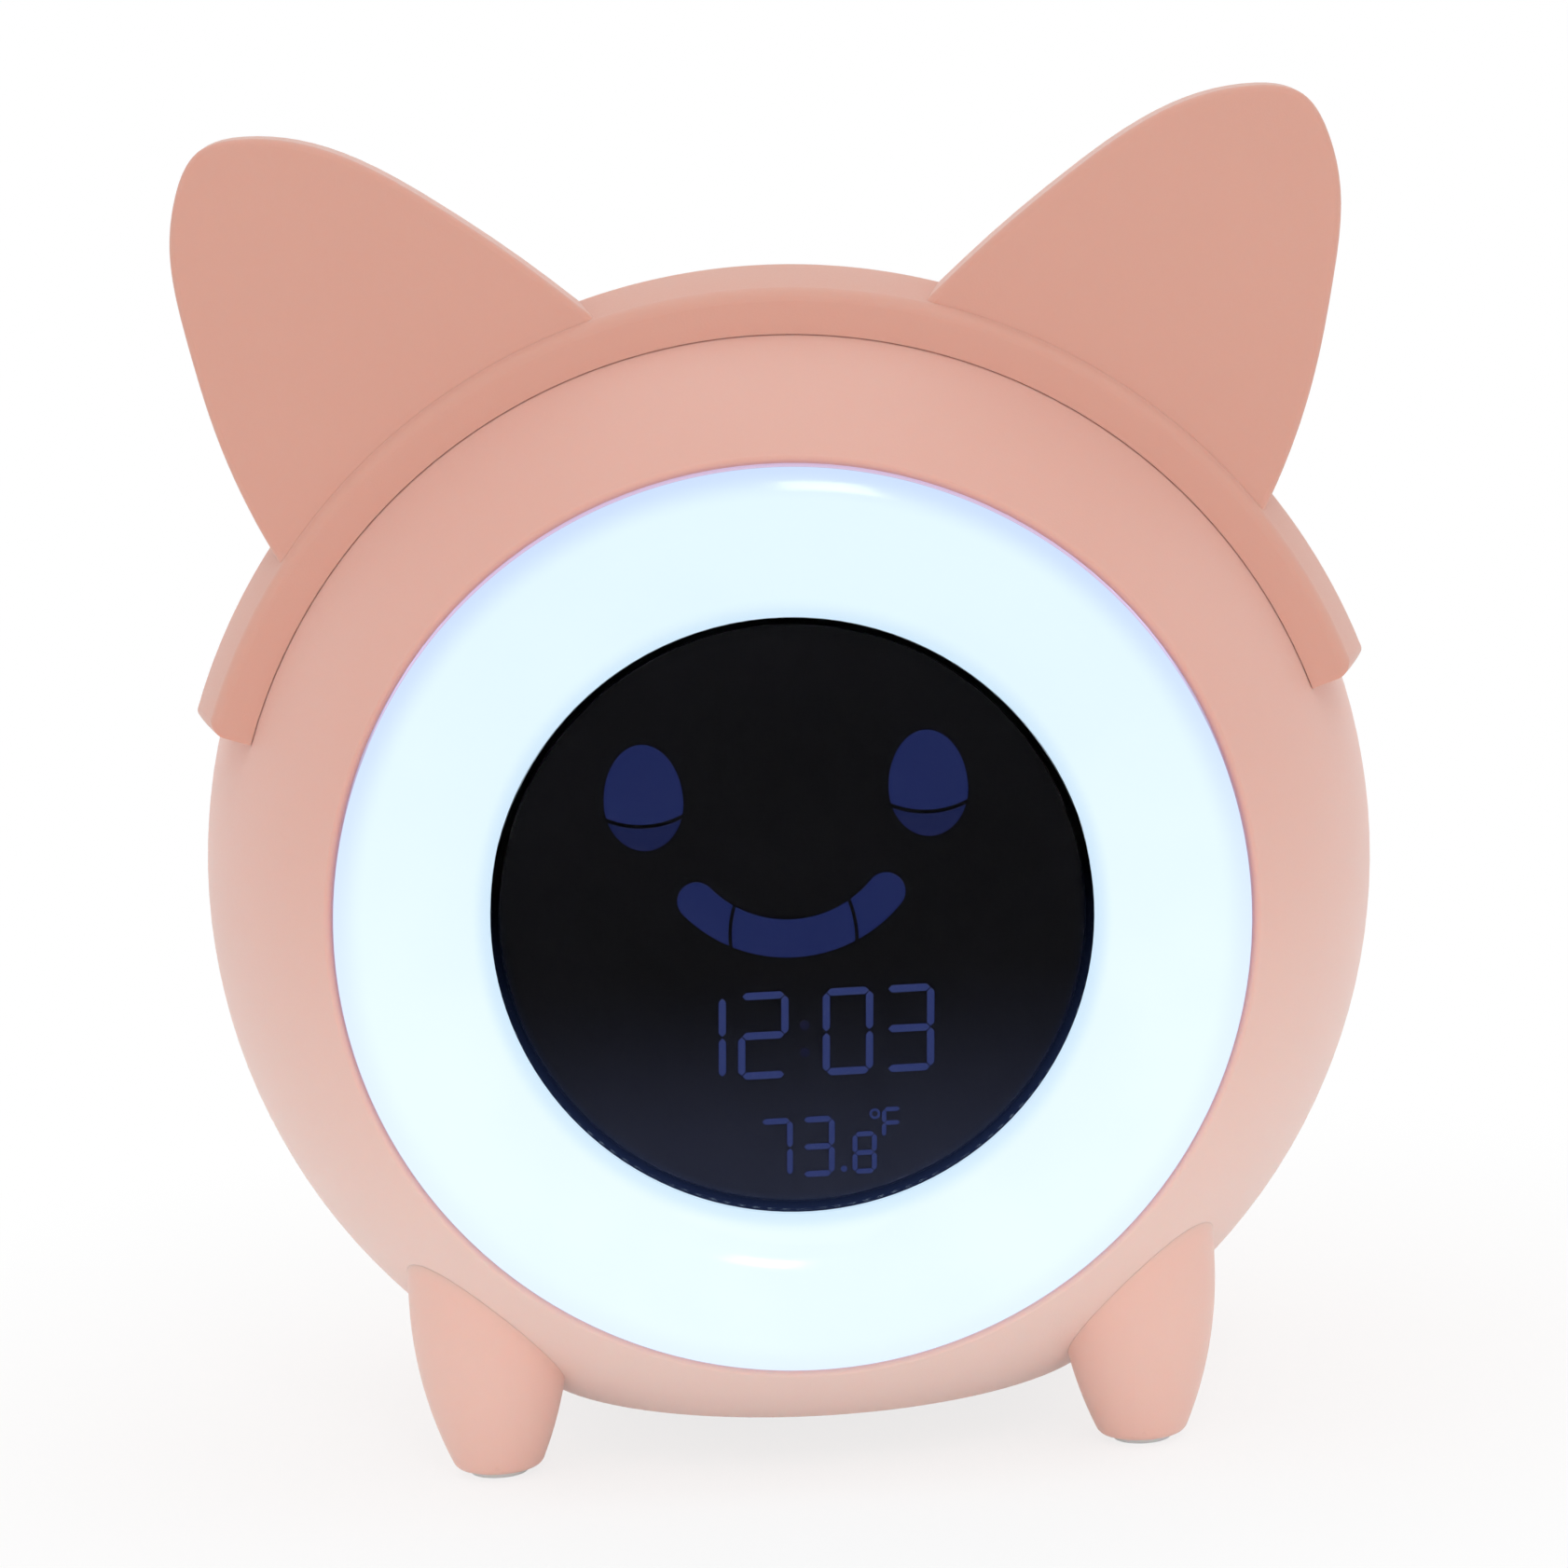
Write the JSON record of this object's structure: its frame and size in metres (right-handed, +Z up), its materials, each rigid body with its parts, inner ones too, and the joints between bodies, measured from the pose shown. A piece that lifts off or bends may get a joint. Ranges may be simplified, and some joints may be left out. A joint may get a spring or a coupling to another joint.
{
  "type": "kids alarm clock with night light",
  "caption": "Ball-shaped bedside alarm clock with a glowing ring round a black segment display, a lift-off headband with cat ears and short tapered legs.",
  "frame": {"origin": "on the floor, under the middle of the clock's width and depth", "axes": "+Z up, the display faces -Y, +X to the right of someone who looks at the display"},
  "size_m": [0.105, 0.0778, 0.1181],
  "materials": {
    "body_plastic": "matte, fine texture, pale salmon pink",
    "ear_plastic": "matte, fine texture, salmon pink",
    "leg_plastic": "matte, fine texture, pale salmon pink",
    "pad_silicone": "translucent, soft",
    "milky_diffuser": "glossy milky diffuser, lit from behind",
    "window": "clear tinted window",
    "black_plastic": "matte",
    "lcd_black": "black segment panel",
    "segment_blue": "dim blue segment",
    "segment_dark": "dim dark blue segment",
    "segment_digit": "dim grey-blue segment",
    "plated_metal": "plated",
    "clear_guide": "frosted light guide",
    "board_white": "white solder mask",
    "white_plastic": "matte",
    "led_white": "white package",
    "board_green": "green solder mask",
    "chip_black": "moulded",
    "can_metal": "drawn can",
    "socket_plastic": "moulded",
    "steel": "pressed",
    "magnet": "coated",
    "cone_paper": "pressed paper",
    "foam": "foam",
    "cell_sleeve": "shrink sleeve",
    "screw_steel": "zinc plated",
    "wire_sleeve": "insulation",
    "key_plastic": "matte"
  },
  "bodies": {
    "root": {"front_housing": "body_plastic", "rear_housing": "body_plastic", "leg_front_left": "leg_plastic", "leg_front_right": "leg_plastic", "leg_rear_left": "leg_plastic", "leg_rear_right": "leg_plastic", "foot_pads": "pad_silicone", "light_ring": "milky_diffuser", "front_lens": "window", "display_frame": "black_plastic", "lcd_panel": "lcd_black", "face_segments": "segment_blue", "lid_segments": "segment_dark", "digit_segments": "segment_digit", "lcd_pins": "plated_metal", "light_guide": "clear_guide", "backlight_board": "board_white", "reflector": "white_plastic", "led_board": "board_white", "ring_leds": "led_white", "main_board": "board_green", "controller_chip": "chip_black", "sound_chip": "chip_black", "capacitors": "can_metal", "tap_sensor": "can_metal", "thermistor": "chip_black", "lead_sockets": "socket_plastic", "key_board": "board_green", "switch_bodies": "chip_black", "speaker_basket": "steel", "speaker_magnet": "magnet", "speaker_cone": "cone_paper", "speaker_gasket": "foam", "usb_board": "board_green", "usb_shell": "plated_metal", "usb_tongue": "black_plastic", "cell": "cell_sleeve", "cell_strap": "white_plastic", "case_screws": "screw_steel", "leg_screws": "screw_steel", "small_screws": "screw_steel", "key_leads": "wire_sleeve", "speaker_leads": "wire_sleeve", "usb_leads": "wire_sleeve", "led_leads": "wire_sleeve", "cell_leads": "wire_sleeve"},
    "headband": {"ear_band": "ear_plastic"},
    "set_button": {"set_key": "key_plastic", "set_plunger": "black_plastic"},
    "minus_button": {"minus_key": "key_plastic", "minus_plunger": "black_plastic"},
    "plus_button": {"plus_key": "key_plastic", "plus_plunger": "black_plastic"},
    "alarm_button": {"alarm_key": "key_plastic", "alarm_plunger": "black_plastic"},
    "light_button": {"light_key": "key_plastic", "light_plunger": "black_plastic"}
  },
  "joints": [
    {"name": "headband_lift", "type": "slide", "parent": "root", "child": "headband", "axis": [0, 0, 1], "range_m": [0, 0.06]},
    {"name": "set_press", "type": "slide", "parent": "root", "child": "set_button", "axis": [0, -1, 0], "range_m": [0, 0.0006], "stiffness_N_per_m": 2200},
    {"name": "minus_press", "type": "slide", "parent": "root", "child": "minus_button", "axis": [0, -1, 0], "range_m": [0, 0.0006], "stiffness_N_per_m": 2200},
    {"name": "plus_press", "type": "slide", "parent": "root", "child": "plus_button", "axis": [0, -1, 0], "range_m": [0, 0.0006], "stiffness_N_per_m": 2200},
    {"name": "alarm_press", "type": "slide", "parent": "root", "child": "alarm_button", "axis": [0, -1, 0], "range_m": [0, 0.0006], "stiffness_N_per_m": 2200},
    {"name": "light_press", "type": "slide", "parent": "root", "child": "light_button", "axis": [0, -1, 0], "range_m": [0, 0.0006], "stiffness_N_per_m": 2200}
  ]
}
